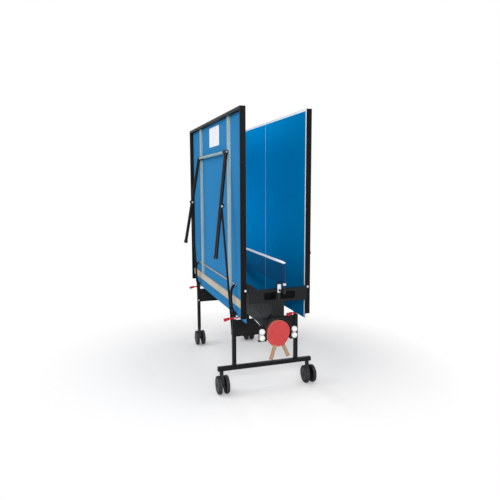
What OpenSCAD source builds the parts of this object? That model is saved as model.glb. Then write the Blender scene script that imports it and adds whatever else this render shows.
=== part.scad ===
// Folding table-tennis table on a wheeled carriage, in its stored pose.
// X runs along the table's length, Y along the net, Z is up. The origin is on the floor,
// in the middle of the carriage. The two halves stand upright with their playing faces together.

/* [Playing boards] */
// Length of one half, from its net edge to its end edge
board_len = 1370; // [1300:5:1700]
// Width of the table, along the net
board_wid = 1525; // [1450:5:1850]
// Thickness of the playing board
board_th = 6; // [4:0.5:8]
// Height of the playing surface when a half is unfolded
play_h = 760; // [700:5:900]
// Distance from a half's net edge to its fold pivot
pivot_s = 216; // [190:1:250]
// Gap between each net edge and the middle plane when unfolded
edge_gap = 1; // [0.5:0.5:3]

/* [Board frame] */
// Depth of the rim below the playing surface
rim_depth = 37; // [30:1:45]
// Width of the side rims
rim_w = 10; // [8:0.5:14]
// Width of the end rim
end_rim_w = 20; // [14:1:30]
// Sheet thickness of the rims and channels
sheet = 1.5; // [1:0.25:2]
// Length of board left without a side rim at the net edge
rim_stop = 28; // [20:1:60]
// Distance of the stiffening channels from the middle plane
chan_y = 420; // [360:5:460]
// Width of the stiffening channels
chan_w = 50; // [40:1:64]
// Distance of the cross channel from the net edge
cross_s = 80; // [60:1:100]

/* [Legs and struts] */
// Distance of the leg hinge from the net edge
hinge_s = 1112; // [1000:1:1160]
// Radius of the leg tube
leg_r = 13; // [11:0.5:14]
// Wall of the leg tube
leg_wall = 1.5; // [1:0.25:2.5]
// Radius of the hinge tube between two legs
hinge_tube_r = 11; // [9:0.5:12]
// Angle by which a stored leg stands away from its board
leg_lean = 8.5; // [6:0.5:10]
// Angle by which each leg spreads towards its end of the table
leg_splay = 8; // [5:0.5:10]
// Distance of the strut pin from the leg hinge
strut_d = 370; // [320:5:400]
// Distance of the strut's lower pivot outward of the fold pivot
strut_out = 19; // [16:1:21]
// Width of a strut
strut_w = 14; // [10:1:16]
// Thickness of a strut
strut_t = 5; // [3:0.5:6]

/* [Carriage] */
// Distance of the end frames from the middle plane
frame_y = 555; // [530:5:600]
// Outer width of the upright tubes
upright_w = 25; // [20:1:30]
// Outer width of the base tube
base_w = 28; // [24:1:32]
// Height of the base tube's lower side
base_z = 151; // [148:1:170]
// Distance of the near casters from the middle plane
near_caster_x = 322; // [290:1:360]
// Height of the uprights' tops
upright_top = 560; // [550:1:580]
// Height of the end panels' lower edge
panel_z = 385; // [370:1:400]
// Height of the end panels
panel_h = 115; // [90:1:120]
// Height of the lever pivots
lever_z = 520; // [515:1:522]
// Width of the centre beam
beam_w = 30; // [24:1:32]
// Height of the centre beam
beam_h = 222; // [180:1:224]
// Distance of the end bars' outer faces from the middle plane, past the board edge
bar_out = 37.5; // [36:0.5:50]

/* [Casters] */
// Wheel radius
wheel_r = 62.5; // [50:0.5:64]
// Wheel thickness
wheel_t = 24; // [18:1:28]
// Space between the two wheels of a caster
wheel_space = 28; // [26:1:34]
// Distance of the axle behind the swivel
trail = 29; // [20:1:36]

/* [Net] */
// Height of the net's top edge in the stored pose
net_top = 944; // [920:1:960]
// Height of the net
net_h = 148; // [140:0.5:152]
// Height of the white band on the net's top edge
band_h = 15; // [12:1:18]
// Distance of each net post past the board edge
post_out = 142.5; // [120:0.5:160]
// Radius of the net posts
post_r = 4; // [3:0.5:5]

/* [Rackets and balls] */
// Height of the middle of the stored rackets
racket_z = 462; // [455:1:470]
// Half the width of a racket's blade
blade_r = 76; // [72:1:78]
// How much taller than wide a racket's blade is
blade_extra = 24; // [8:1:28]
// Thickness of the wooden blade
blade_t = 6; // [5:0.5:7]
// Thickness of each rubber sheet
rubber_t = 2; // [1.5:0.25:2.2]
// Distance from the middle of the blade to the end of the handle
handle_end = 178; // [170:1:190]
// Width of a racket's handle
handle_w = 25; // [22:1:30]
// Thickness of a racket's handle
handle_t = 18; // [16:1:22]
// Tilt of the front racket's handle
front_tilt = 17; // [14:1:22]
// Tilt of the rear racket's handle
rear_tilt = -25; // [-30:1:-22]
// Ball radius
ball_r = 20; // [19:0.5:20]

/* [Fits] */
// Radial clearance of a running fit
run_gap = 0.05; // [0.02:0.01:0.1]
// Clearance between neighbours that move past each other
side_gap = 1.5; // [1:0.1:2]
// Clearance between separate pieces of one frame
seam = 0.2; // [0.1:0.05:0.4]

/* [Hidden] */
$fn = 64;

over = 1;                       // how far a cut runs past the face it opens
black = [0.06, 0.06, 0.07];
blue = [0.02, 0.36, 0.68];
pale_grey = [0.75, 0.78, 0.78];
dark_grey = [0.22, 0.23, 0.24];
red = [0.65, 0.08, 0.12];
white = [0.93, 0.93, 0.93];
wood = [0.62, 0.45, 0.3];
steel = [0.7, 0.7, 0.72];

// Fold pivot: the rod runs inside the channels, just under the board
rod_r = 4;
pivot_n = board_th + rod_r + 2;
pivot_x = -(pivot_s + edge_gap);
pivot_z = play_h - pivot_n;
face_x = pivot_x + pivot_n;
net_z = pivot_z - pivot_s;
top_z = net_z + board_len;
half_wid = board_wid / 2;
chan_h = pivot_n + rod_r + 0.5 + sheet - board_th;
joint_w = 50;                   // width of the cross channel

// Leg hinge, on the outer face of the channels
head_r = leg_r + 0.5;
head_t = 30;
hinge_n = board_th + chan_h + head_r + 0.5;
hinge_x = face_x - hinge_n;
hinge_z = net_z + hinge_s;
leg_len = play_h - hinge_n;
foot_len = 22;
foot_r = leg_r + 3;
foot_face = foot_r - 2;
tube_len = (leg_len - foot_face * sin(leg_splay)) / cos(leg_splay);
tube_end = chan_y - head_t / 2;
saddle_t = 12;

// Strut pivots. The lower one is placed so that the strut reaches the pin both
// when the half is stored and when it is unfolded with its legs upright.
pin_r = 4;
pin_x = hinge_x - strut_d * sin(leg_lean);
pin_z = hinge_z - strut_d * cos(leg_lean);
pin_x2 = -(hinge_s + edge_gap);
pin_z2 = leg_len - strut_d;
strut_x = pivot_x - strut_out;
strut_z = (pin_x ^ 2 + pin_z ^ 2 - pin_x2 ^ 2 - pin_z2 ^ 2 - 2 * strut_x * (pin_x - pin_x2))
        / (2 * (pin_z - pin_z2));
strut_len = norm([pin_x - strut_x, pin_z - strut_z]);
strut_tilt = atan2(strut_x - pin_x, pin_z - strut_z);
strut_tilt2 = atan2(strut_x - pin_x2, pin_z2 - strut_z);

// Where the pin wanders in the strut's frame as the half unfolds by t degrees. Legs and struts
// both turn in proportion to t.
function turned(v, a) = [v[0] * cos(a) - v[1] * sin(a), v[0] * sin(a) + v[1] * cos(a)];
function pin_at(t) = [pivot_x, pivot_z] + turned([hinge_x - pivot_x, hinge_z - pivot_z], t)
                   + turned([0, -strut_d], leg_lean * (t / 90 - 1));
function wander(t) = turned(pin_at(t) - [strut_x, strut_z], -strut_tilt - (strut_tilt2 - strut_tilt) * t / 90)
                   - [0, strut_len];
travel = [for (t = [0 : 3 : 90]) wander(t)];
across = [for (v = travel) v[0]];
along = [for (v = travel) v[1]];
eye_shift = [min(across) + max(across), min(along) + max(along)] / 2;
eye_play = max([for (v = travel) norm(v - eye_shift)]) + 0.5;
eye_r = pin_r + eye_play;
eye_wall = 4.5;
pin_y = chan_y + strut_d * tan(leg_splay);

// How far the spreading leg stands out past its pin, wherever the strut still covers it
function beside(s) = max(s * (tan(leg_lean) + tan(strut_tilt)) - strut_w / 2, 0);
function leg_side(s) = s * tan(leg_splay) + sqrt(max(leg_r ^ 2 - beside(s) ^ 2, 0)) / cos(leg_splay);
leg_reach = max([for (s = [0 : 5 : 120]) if (beside(s) < leg_r) leg_side(s)]);
upper_y = pin_y + leg_reach + side_gap + strut_t / 2;
lower_y = frame_y - upright_w / 2 - side_gap - strut_t / 2;

// Carriage
upright_x = pivot_x - 13;
tube_wall = 2;
base_len = 2 * (near_caster_x + 23);
rod_end = frame_y + 7;
arm_t = 12;
beam_z = 437;
beam_top = beam_z + beam_h;
panel_t = 3;
panel_lip = 8;
notch_top = 90;                 // half width of the panels' notch at its top
notch_foot = beam_w / 2 + 17;   // and at its foot
bar_y = half_wid + bar_out;
bar_z = 665;
bar_h = 87;
bar_x = 200;
bar_t = 3;
bar_depth = 22;
ear_y = half_wid + 9.5;
ear_t = 4;
centre_w = 82;
centre_z = 563;

// Casters
axle_r = 5;
stem_r = 6;
stem_len = 8;
fork_w = wheel_space - 6;
boss_r = 14;

// Net
post_y = half_wid + post_out;
net_foot = net_top - net_h;
net_drop = 30;                  // how far the net slides down to its playing height
socket_z = net_foot - 57;
socket_top = net_foot - 1;
post_foot = socket_z + 20;
reach_w = 10;
reach_h = 14;
collar_h = 12;
bracket_w = 30;
guide_w = 14;
guide_d = 8;
plate_y = bar_y + guide_d + 6;
guide_z = bar_z + 12;
guide_top = net_foot - net_drop - 3;

// Rackets and balls
back_t = 3;
ring_r = blade_r + 8;
ring_wall = 6;
holder_x = -8;                  // the holder stands a little to the left of the middle
rear_y = bar_y + 9.5;
front_y = rear_y + handle_t / 2 + blade_t / 2 + rubber_t + 0.6;
pocket_y = front_y + 6;
ring_z = racket_z + blade_extra / 2 + 3;
ball_x = ring_r + ring_wall + 2 + ball_r;
ball_y = bar_y + back_t + 0.5 + ball_r;
ball_floor = 421;

// ---------- general shapes ----------

// Copies on the right of the table, mirrored
module on_right() { mirror([1, 0, 0]) children(); }

// Copies at both ends of the table. Children are drawn for the far end.
module both_ends() {
    children();
    mirror([0, 1, 0]) children();
}

module both_sides() {
    children();
    on_right() children();
}

// Cylinder along Y from y0 to y1, at x and z
module y_rod(x, z, y0, y1, r) {
    translate([x, y1, z]) rotate([90, 0, 0]) cylinder(r = r, h = y1 - y0);
}

// Box given by its two opposite corners
module box(a, b) { translate(a) cube(b - a); }

// Flat bar with mitred corners that follows a list of points
function unit(v) = v / norm(v);
function left_of(v) = [-v[1], v[0]];
function mitre(p, i) =
    let (n = len(p) - 1)
    let (a = left_of(unit(p[max(i, 1)] - p[max(i, 1) - 1])))
    let (b = left_of(unit(p[min(i, n - 1) + 1] - p[min(i, n - 1)])))
    let (m = unit(a + b))
    m / (m * a);

module strip(points, w) {
    n = len(points) - 1;
    polygon(concat([for (i = [0 : n]) points[i] + mitre(points, i) * w / 2],
                   [for (i = [n : -1 : 0]) points[i] - mitre(points, i) * w / 2]));
}

// Draws a shape given in (X, Z) as a plate from y0 to y1
module xz_plate(y0, y1) { translate([0, y1, 0]) rotate([90, 0, 0]) linear_extrude(y1 - y0) children(); }

// Draws a shape given in (Y, Z) as a plate from x0 to x1
module yz_plate(x0, x1) { translate([x0, 0, 0]) rotate([90, 0, 90]) linear_extrude(x1 - x0) children(); }

module rounded_rect(w, h, r) {
    square([w - 2 * r, h], center = true);
    square([w, h - 2 * r], center = true);
    for (x = [-1, 1], y = [-1, 1]) translate([x * (w / 2 - r), y * (h / 2 - r)]) circle(r);
}

// ---------- halves of the table, drawn for the left side ----------

module board() {
    color(blue) box([face_x - board_th, -half_wid + sheet, net_z], [face_x, half_wid - sheet, top_z - sheet]);
}

// Hollow rim section. Depth runs along -X, width along -Y, and the outer wall covers the board's edge.
module rim_section(w) {
    difference() {
        polygon([[0, 0], [-rim_depth, 0], [-rim_depth, -w], [-board_th, -w],
                 [-board_th, -sheet], [0, -sheet]]);
        translate([-rim_depth + sheet, -w + sheet]) square([rim_depth - board_th - 2 * sheet, w - 2 * sheet]);
    }
}

module rim() {
    end_half = half_wid - rim_w - seam;
    color(black) {
        both_ends() difference() {
            translate([face_x, half_wid, net_z + rim_stop])
                linear_extrude(board_len - rim_stop) rim_section(rim_w);
            y_rod(pivot_x, pivot_z, half_wid - rim_w - over, half_wid + over, pin_r + run_gap);
        }
        translate([face_x, end_half, top_z]) rotate([90, 0, 0])
            linear_extrude(2 * end_half) rim_section(end_rim_w);
    }
}

// Open section with its mouth on the board
module channel_section(w) {
    difference() {
        translate([-board_th - chan_h, -w / 2]) square([chan_h, w]);
        translate([-board_th - chan_h + sheet, -w / 2 + sheet])
            square([chan_h - sheet + over, w - 2 * sheet]);
    }
}

module channels() {
    z0 = net_z + cross_s + joint_w + seam;
    half = half_wid - rim_w - seam;
    color(pale_grey) {
        both_ends() difference() {
            translate([face_x, chan_y, z0])
                linear_extrude(top_z - end_rim_w - seam - z0) channel_section(chan_w);
            y_rod(pivot_x, pivot_z, chan_y - chan_w, chan_y + chan_w, rod_r + run_gap);
        }
        translate([face_x, half, net_z + cross_s + joint_w / 2]) rotate([90, 0, 0])
            linear_extrude(2 * half) channel_section(joint_w);
    }
}

// Brackets on the board that carry the hinge tube
module saddles() {
    outer = hinge_tube_r + 4;
    y1 = chan_y - chan_w / 2 - 1;
    foot_x = face_x - board_th;
    color(black) both_ends() xz_plate(y1 - saddle_t, y1) difference() {
        union() {
            translate([hinge_x, hinge_z]) circle(outer);
            translate([hinge_x, hinge_z - outer]) square([foot_x - hinge_x, 2 * outer]);
        }
        translate([hinge_x, hinge_z]) circle(hinge_tube_r + run_gap);
    }
}

module label() {
    label_w = 290;
    label_h = 145;
    label_t = 0.6;
    x = face_x - board_th;
    color(white) yz_plate(x - label_t, x) translate([0, top_z - 117]) rounded_rect(label_w, label_h, 4);
}

// ---------- legs, drawn for the left side ----------

// Places children in the leg's frame: the hinge at the origin, the leg along -Z
module at_hinge() { translate([hinge_x, 0, hinge_z]) rotate([0, leg_lean, 0]) children(); }

// Places children on the far leg's axis, h below its hinge
module down_leg(h) { translate([0, chan_y, 0]) rotate([leg_splay, 0, 0]) translate([0, 0, -h]) children(); }

module legs() {
    color(black) at_hinge() both_ends() difference() {
        union() {
            y_rod(0, 0, chan_y - head_t / 2, chan_y + head_t / 2, head_r);
            down_leg(tube_len - foot_len) cylinder(r = leg_r, h = tube_len - foot_len);
        }
        down_leg(tube_len) cylinder(r = leg_r - leg_wall, h = tube_len - head_r - 4);
        y_rod(0, -strut_d, pin_y - 2 * leg_r, pin_y + 2 * leg_r, pin_r);
    }
}

module hinge_tube() {
    color(pale_grey) at_hinge() difference() {
        y_rod(0, 0, -tube_end, tube_end, hinge_tube_r);
        y_rod(0, 0, -tube_end - over, tube_end + over, hinge_tube_r - leg_wall);
    }
}

module feet() {
    spigot = 20;
    color([0.1, 0.1, 0.1]) at_hinge() both_ends() down_leg(tube_len) {
        cylinder(r = foot_face, h = 4);
        translate([0, 0, 3]) cylinder(r = foot_r, h = foot_len - 3);
        cylinder(r = leg_r - leg_wall, h = foot_len + spigot);
    }
}

// Hinge bolt heads, and the through bolts that the struts hang on
module leg_bolts() {
    washer_t = 1.5;
    bolt_head = 7;
    face = upper_y + strut_t / 2 + side_gap;
    back = pin_y - leg_r / cos(leg_splay) - bolt_head * tan(leg_splay) - seam;
    head_y = chan_y + head_t / 2;
    color(steel) at_hinge() both_ends() {
        y_rod(0, 0, head_y, head_y + 4, 6);
        y_rod(0, -strut_d, back - 6, face + washer_t, pin_r);
        y_rod(0, -strut_d, back - 5, back, bolt_head);
        y_rod(0, -strut_d, face, face + washer_t, eye_r + eye_wall);
        y_rod(0, -strut_d, face + washer_t, face + washer_t + 5, bolt_head);
    }
}

// Far strut of the left side. Its upper eye is wide, so that the pin can wander in it as the legs fold.
module strut() {
    joggle = 45;
    eye = [eye_shift[0], strut_len + eye_shift[1]];
    color(black) translate([strut_x, 0, strut_z]) rotate([0, -strut_tilt, 0]) difference() {
        union() {
            yz_plate(-strut_w / 2, strut_w / 2) intersection() {
                strip([[lower_y, -joggle], [lower_y, joggle], [upper_y, strut_len - joggle],
                       [upper_y, strut_len + joggle]], strut_t);
                square([2 * frame_y, strut_len]);
            }
            y_rod(0, 0, lower_y - strut_t / 2, lower_y + strut_t / 2, pin_r + 6);
            y_rod(eye[0], eye[1], upper_y - strut_t / 2, upper_y + strut_t / 2, eye_r + eye_wall);
        }
        y_rod(0, 0, lower_y - strut_t, lower_y + strut_t, pin_r + run_gap);
        y_rod(eye[0], eye[1], upper_y - strut_t, upper_y + strut_t, eye_r);
    }
}

// ---------- carriage ----------

// Square tube with a closed foot, its middle at x and y, with a bore for a caster stem if wanted
module upright(x, y, z0, bored) {
    difference() {
        translate([x - upright_w / 2, y - upright_w / 2, z0]) cube([upright_w, upright_w, upright_top - z0]);
        translate([x - upright_w / 2 + tube_wall, y - upright_w / 2 + tube_wall, z0 + 6])
            cube([upright_w - 2 * tube_wall, upright_w - 2 * tube_wall, upright_top - z0 - 6 - tube_wall]);
        if (bored) translate([x, y, z0 - over]) cylinder(r = stem_r + run_gap, h = 10);
    }
}

module uprights() {
    color(black) both_sides() {
        upright(upright_x, -frame_y, base_z + base_w, false);
        upright(upright_x, frame_y, base_z, true);
    }
}

module near_base_tube() {
    w = base_w / 2;
    half = base_len / 2;
    color(black) difference() {
        box([-half, -frame_y - w, base_z], [half, -frame_y + w, base_z + base_w]);
        box([-half - over, -frame_y - w + tube_wall, base_z + tube_wall],
            [half + over, -frame_y + w - tube_wall, base_z + base_w - tube_wall]);
        for (s = [-1, 1]) translate([s * near_caster_x, -frame_y, base_z - over])
            cylinder(r = stem_r + run_gap, h = tube_wall + 2 * over);
    }
}

module tube_plugs() {
    w = base_w / 2;
    in = w - tube_wall;
    half = base_len / 2;
    color([0.1, 0.1, 0.1]) both_sides() {
        box([half, -frame_y - w, base_z], [half + 3, -frame_y + w, base_z + base_w]);
        box([half - 12, -frame_y - in, base_z + tube_wall],
            [half, -frame_y + in, base_z + base_w - tube_wall]);
    }
}

// Black sheet between two uprights, with a rolled lip along its top and bottom. The arm that carries
// the end bar lies in the notch.
module end_panel(y) {
    half = -upright_x - upright_w / 2;
    z0 = panel_z + panel_t;
    z1 = panel_z + panel_h - panel_t;
    top = panel_z + panel_h;
    color(black) difference() {
        box([-half, y - panel_lip, panel_z], [half, y + panel_lip, top]);
        xz_plate(y - 2 * panel_lip, y + 2 * panel_lip)
            polygon([[-notch_top, top + over], [-notch_foot, beam_z], [notch_foot, beam_z],
                     [notch_top, top + over]]);
        for (s = [-1, 1]) translate([0, y + s * (panel_t / 2 + panel_lip), (z0 + z1) / 2])
            cube([2 * half + 2 * over, 2 * panel_lip, z1 - z0], center = true);
    }
}

module near_panel() {
    knob_r = 9;
    end_panel(-frame_y);
    color(black) for (x = [-152, -112]) y_rod(x, panel_z - 4, -frame_y - 10, -frame_y + 10, knob_r);
}

module far_panel() { end_panel(frame_y); }

// Swan-neck arms from the uprights to the fold pivot. They stay on the outer, lower side of the
// pivot, because the board turns close round its other sides.
module pivot_arms() {
    tip_r = 5.5;
    neck = [[upright_x, upright_top], [upright_x - 15, upright_top + 40], [upright_x - 19, pivot_z - 58],
            [pivot_x - 24, pivot_z - 21], [pivot_x - 12, pivot_z - 6]];
    color(black) both_sides() both_ends() difference() {
        xz_plate(frame_y - arm_t / 2, frame_y + arm_t / 2) {
            intersection() {
                strip(neck, 14);
                translate([2 * upright_x, upright_top]) square([-2 * upright_x, play_h - upright_top]);
            }
            strip([neck[4], [pivot_x, pivot_z]], 2 * tip_r - 1);
            translate([pivot_x, pivot_z]) circle(tip_r);
        }
        y_rod(pivot_x, pivot_z, frame_y - arm_t, frame_y + arm_t, rod_r);
    }
}

// Fold rods, each with a sleeve between the long channels that just clears the board's underside
module pivot_rods() {
    sleeve_r = pivot_n - board_th - 0.3;
    sleeve_half = chan_y - chan_w / 2 - 1;
    color(pale_grey) both_sides() {
        y_rod(pivot_x, pivot_z, -rod_end, rod_end, rod_r);
        y_rod(pivot_x, pivot_z, -sleeve_half, sleeve_half, sleeve_r);
    }
}

// Deep box beam between the end panels. It is slim because the boards' net edges swing past it.
module centre_beam() {
    half = frame_y - panel_lip;
    w = beam_w / 2;
    color(dark_grey) difference() {
        box([-w, -half, beam_z], [w, half, beam_top]);
        box([-w + tube_wall, -half - over, beam_z + tube_wall],
            [w - tube_wall, half + over, beam_top - tube_wall]);
    }
}

// Folded arms that carry the beam's line on through the panels' notches to the end bars, each with a
// gusset that fills its notch
module end_arms() {
    w = beam_w / 2;
    root = frame_y - panel_lip;
    face = frame_y + panel_lip;
    tip = bar_y - bar_t;
    panel_top = panel_z + panel_h;
    wedge = notch_top - 12;
    foot = notch_foot - seam;
    color(dark_grey) both_ends() {
        difference() {
            yz_plate(-w, w) polygon([[root, beam_top], [tip, beam_top], [tip, centre_z + 40],
                                     [tip - 90, centre_z], [face, panel_top - 24], [face, beam_z],
                                     [root, beam_z]]);
            box([-w + tube_wall, root - over, beam_z - over],
                [w - tube_wall, tip + over, beam_top - tube_wall]);
        }
        xz_plate(frame_y - panel_t / 2, frame_y + panel_t / 2)
            polygon([[-wedge, panel_top], [-foot, beam_z], [foot, beam_z], [wedge, panel_top]]);
    }
}

// Pressed bar between the two fold pivots, with a centre plate below it. Drawn for the far end.
module end_bar() {
    top = bar_z + bar_h;
    ear_r = 12;
    flange = 12;
    color(dark_grey) {
        box([-bar_x, bar_y - bar_t, bar_z], [bar_x, bar_y, top]);
        box([-bar_x, bar_y - bar_depth, top - bar_t], [bar_x, bar_y, top]);
        for (s = [-1, 1]) box([s > 0 ? centre_w / 2 : -bar_x, bar_y - bar_depth, bar_z],
                              [s > 0 ? bar_x : -centre_w / 2, bar_y, bar_z + bar_t]);
        box([-centre_w / 2, bar_y - bar_t, centre_z], [centre_w / 2, bar_y, bar_z + over]);
        both_sides() {
            box([-centre_w / 2, bar_y - flange, centre_z], [-centre_w / 2 + bar_t, bar_y, bar_z + over]);
            box([-bar_x, ear_y, pivot_z - ear_r], [-bar_x + ear_t, bar_y, top]);
            difference() {
                xz_plate(ear_y, ear_y + ear_t) {
                    translate([pivot_x, pivot_z]) circle(ear_r);
                    translate([pivot_x, pivot_z - ear_r]) square([ear_t - bar_x - pivot_x, 2 * ear_r]);
                }
                y_rod(pivot_x, pivot_z, ear_y - over, ear_y + ear_t + over, pin_r);
            }
        }
    }
}

module end_bars() { both_ends() end_bar(); }

// Blank plates on the near end bar, on both sides of the net bracket
module badge_plates() {
    gap = bracket_w / 2 + 2;
    z = bar_z + 43;
    color([0.03, 0.03, 0.03]) mirror([0, 1, 0]) xz_plate(bar_y, bar_y + 2) difference() {
        translate([9, z]) rounded_rect(216, 48, 12);
        translate([-gap, z - bar_h]) square([2 * gap, 2 * bar_h]);
    }
}

// Upright keys on the end bars, which the net brackets slide on
module net_guides() {
    color(black) both_ends() box([-guide_w / 2, bar_y, guide_z], [guide_w / 2, bar_y + guide_d, guide_top]);
}

// Net brackets: a block with a slot round the key, an arm and a socket for the post
module net_brackets() {
    play = 0.3;
    color(black) both_ends() difference() {
        union() {
            box([-bracket_w / 2, bar_y + play, socket_z - 4], [bracket_w / 2, plate_y, socket_top]);
            box([-reach_w / 2, plate_y - over, socket_z + 3], [reach_w / 2, post_y, socket_z + reach_h]);
            translate([0, post_y, socket_z]) cylinder(r = 8, h = socket_top - socket_z);
        }
        box([-guide_w / 2 - play, bar_y - over, socket_z - 5],
            [guide_w / 2 + play, bar_y + guide_d + play, socket_top + over]);
        translate([0, post_y, post_foot]) cylinder(r = post_r, h = socket_top);
    }
}

// White covers on the brackets, and white collars round the posts with a slit for the net
module net_clips() {
    play = 0.3;
    slit = 4;
    color(white) both_ends() {
        difference() {
            xz_plate(plate_y, plate_y + 3)
                translate([0, (socket_z + socket_top) / 2 - 9]) rounded_rect(bracket_w - 6, 54, 4);
            box([-reach_w / 2 - play, plate_y - over, socket_z + 3 - play],
                [reach_w / 2 + play, plate_y + 4, socket_z + reach_h + play]);
        }
        translate([0, post_y, socket_top]) difference() {
            cylinder(r = 10, h = collar_h);
            translate([0, 0, -over]) cylinder(r = post_r, h = collar_h + 2 * over);
            box([-slit / 2, -post_y, -over], [slit / 2, 0, collar_h + over]);
        }
    }
}

// Fold bolts in the end bars, strut bolts and lever bolts on the uprights
module frame_bolts() {
    inner = frame_y - upright_w / 2;
    outer = frame_y + upright_w / 2;
    lever_y = outer + side_gap + 10;
    color(steel) both_sides() both_ends() {
        y_rod(pivot_x, pivot_z, half_wid - rim_w - 2, ear_y + ear_t, pin_r);
        y_rod(pivot_x, pivot_z, ear_y + ear_t, ear_y + ear_t + 5, 8);
        y_rod(strut_x, strut_z, lower_y - strut_t / 2 - 4, inner, pin_r);
        y_rod(strut_x, strut_z, lower_y - strut_t / 2 - 6, lower_y - strut_t / 2 - side_gap, 7);
        y_rod(upright_x, lever_z, outer, lever_y + 4, pin_r);
        y_rod(upright_x, lever_z, lever_y + side_gap, lever_y + 6, 7);
    }
}

// ---------- casters ----------

// Draws a caster's children at its stem
module at_stem(x, y) { translate([x, y, 0]) children(); }

module fork() {
    top = base_z - 0.3;
    color([0.13, 0.13, 0.14]) difference() {
        union() {
            translate([0, 0, 2 * wheel_r + 3]) cylinder(r = boss_r, h = top - 2 * wheel_r - 3);
            translate([0, 0, top - over]) cylinder(r = stem_r, h = stem_len);
            yz_plate(-fork_w / 2, fork_w / 2) {
                strip([[0, 2 * wheel_r + 5], [-6, 2 * wheel_r - 14], [-trail, wheel_r]], 24);
                translate([-trail, wheel_r]) circle(13);
            }
        }
        translate([-wheel_space, -trail, wheel_r]) rotate([0, 90, 0])
            cylinder(r = axle_r + run_gap, h = 2 * wheel_space);
    }
}

// Half of a wheel's section: radius along X, thickness along Y, outer face at the top
module wheel_section() {
    round_r = 6;
    bore = axle_r + run_gap;
    difference() {
        union() {
            translate([bore, 0]) square([wheel_r - round_r - bore, wheel_t]);
            translate([bore, round_r]) square([wheel_r - bore, wheel_t - 2 * round_r]);
            for (y = [round_r, wheel_t - round_r]) translate([wheel_r - round_r, y]) circle(round_r);
        }
        translate([14, wheel_t - 3]) square([wheel_r - 30, 3 + over]);
    }
}

// Two wheels on one axle
module wheels() {
    out = wheel_space / 2 + wheel_t - 2;
    color([0.12, 0.12, 0.13]) translate([0, -trail, wheel_r]) {
        for (s = [0, 1]) mirror([s, 0, 0]) translate([wheel_space / 2, 0, 0]) rotate([0, 90, 0])
            rotate_extrude() wheel_section();
        translate([-out, 0, 0]) rotate([0, 90, 0]) cylinder(r = axle_r, h = 2 * out);
    }
}

// ---------- locking levers ----------

// Finger lever with a short catch, on the outer face of the left far upright
module lever() {
    y0 = frame_y + upright_w / 2 + side_gap;
    color(red) difference() {
        union() {
            xz_plate(y0, y0 + 10) {
                strip([[upright_x, lever_z], [upright_x - 40, lever_z - 1]], 9);
                strip([[upright_x - 38, lever_z - 1], [upright_x - 74, lever_z - 8]], 17);
                strip([[upright_x, lever_z], [upright_x + 29, lever_z + 1]], 8);
            }
            y_rod(upright_x, lever_z, y0, y0 + 10, 9);
            y_rod(upright_x - 68, lever_z - 7, y0 - 1, y0 + 13, 10);
        }
        y_rod(upright_x, lever_z, y0 - over, y0 + 10 + over, pin_r + run_gap);
    }
}

// The right-hand levers point the same way as the left-hand ones
module at_right() { translate([-2 * upright_x, 0, 0]) children(); }

// ---------- net ----------

module net_posts() {
    color([0.05, 0.08, 0.2]) both_ends() translate([0, post_y, post_foot])
        cylinder(r = post_r, h = net_top + 2 - post_foot);
}

module net_cloth() {
    half = post_y - post_r;
    color([0.05, 0.08, 0.2]) box([-1, -half, net_top - net_h], [1, half, net_top - band_h]);
}

module net_band() {
    half = post_y - post_r;
    color(white) box([-2, -half, net_top - band_h], [2, half, net_top]);
}

// ---------- racket holder, rackets and balls, at the near end ----------

// Cup for two rackets, open at the bottom, with an open cage for two balls on each side
module racket_holder() {
    outer = ring_r + ring_wall;
    cage_x = ball_x + ball_r + 1;
    cage_foot = ball_floor - 3;
    cage_top = ball_floor + 4 * ball_r;
    rod_w = 3;
    color([0.07, 0.07, 0.07]) translate([holder_x, 0, 0]) mirror([0, 1, 0]) {
        xz_plate(bar_y, bar_y + back_t) difference() {
            union() {
                translate([0, ring_z]) circle(outer);
                translate([-ball_x, cage_foot]) square([2 * ball_x, cage_top - cage_foot]);
            }
            translate([-ring_r, 0]) square([2 * ring_r, cage_foot]);
        }
        xz_plate(bar_y, pocket_y) difference() {
            union() {
                translate([0, ring_z]) circle(outer);
                translate([-outer, cage_foot]) square([2 * outer, ring_z - cage_foot]);
            }
            translate([0, ring_z]) circle(ring_r);
            translate([-ring_r, 0]) square([2 * ring_r, ring_z]);
            translate([-outer - over, 0]) square([2 * outer + 2 * over, cage_foot]);
        }
        both_sides() {
            box([outer - over, bar_y, cage_foot], [cage_x + rod_w, ball_y + rod_w, ball_floor]);
            box([cage_x, ball_y - rod_w, cage_foot], [cage_x + rod_w, ball_y + rod_w, cage_top]);
        }
    }
}

// Places a racket: the middle of the blade at the origin, the handle along -Z
module at_racket(y, tilt) { translate([holder_x, -y, racket_z]) rotate([0, tilt, 0]) children(); }

// Oval outline of a blade or a rubber of half width r
module oval(r) {
    for (z = [-1, 1]) translate([0, z * blade_extra / 2]) circle(r);
    square([2 * r, blade_extra], center = true);
}

module racket_blade() {
    half = blade_r + blade_extra / 2;
    throat = blade_r * 0.45;
    neck = 11;
    grip = half + 4;
    color(wood) {
        xz_plate(-blade_t / 2, blade_t / 2) {
            oval(blade_r);
            polygon([[-throat, -half * 0.85], [throat, -half * 0.85],
                     [neck, -grip - 4], [-neck, -grip - 4]]);
        }
        translate([0, 0, -handle_end]) linear_extrude(handle_end - grip) rounded_rect(handle_w, handle_t, 7);
    }
}

module racket_rubbers() {
    rubber_r = blade_r - 1;
    half = blade_r + blade_extra / 2;
    for (s = [0, 1]) color(s == 0 ? red : black) mirror([0, s, 0])
        xz_plate(-blade_t / 2 - rubber_t, -blade_t / 2) intersection() {
            oval(rubber_r);
            translate([-rubber_r, -half * 0.95]) square(2 * half);
        }
}

// Ball on side s, in place i of its stack
module ball(s, i) {
    z = ball_floor + 0.3 + ball_r + i * (2 * ball_r + 0.4);
    color(white) translate([holder_x + s * ball_x, -ball_y, z]) sphere(ball_r);
}

// ---------- nodes ----------

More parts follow.
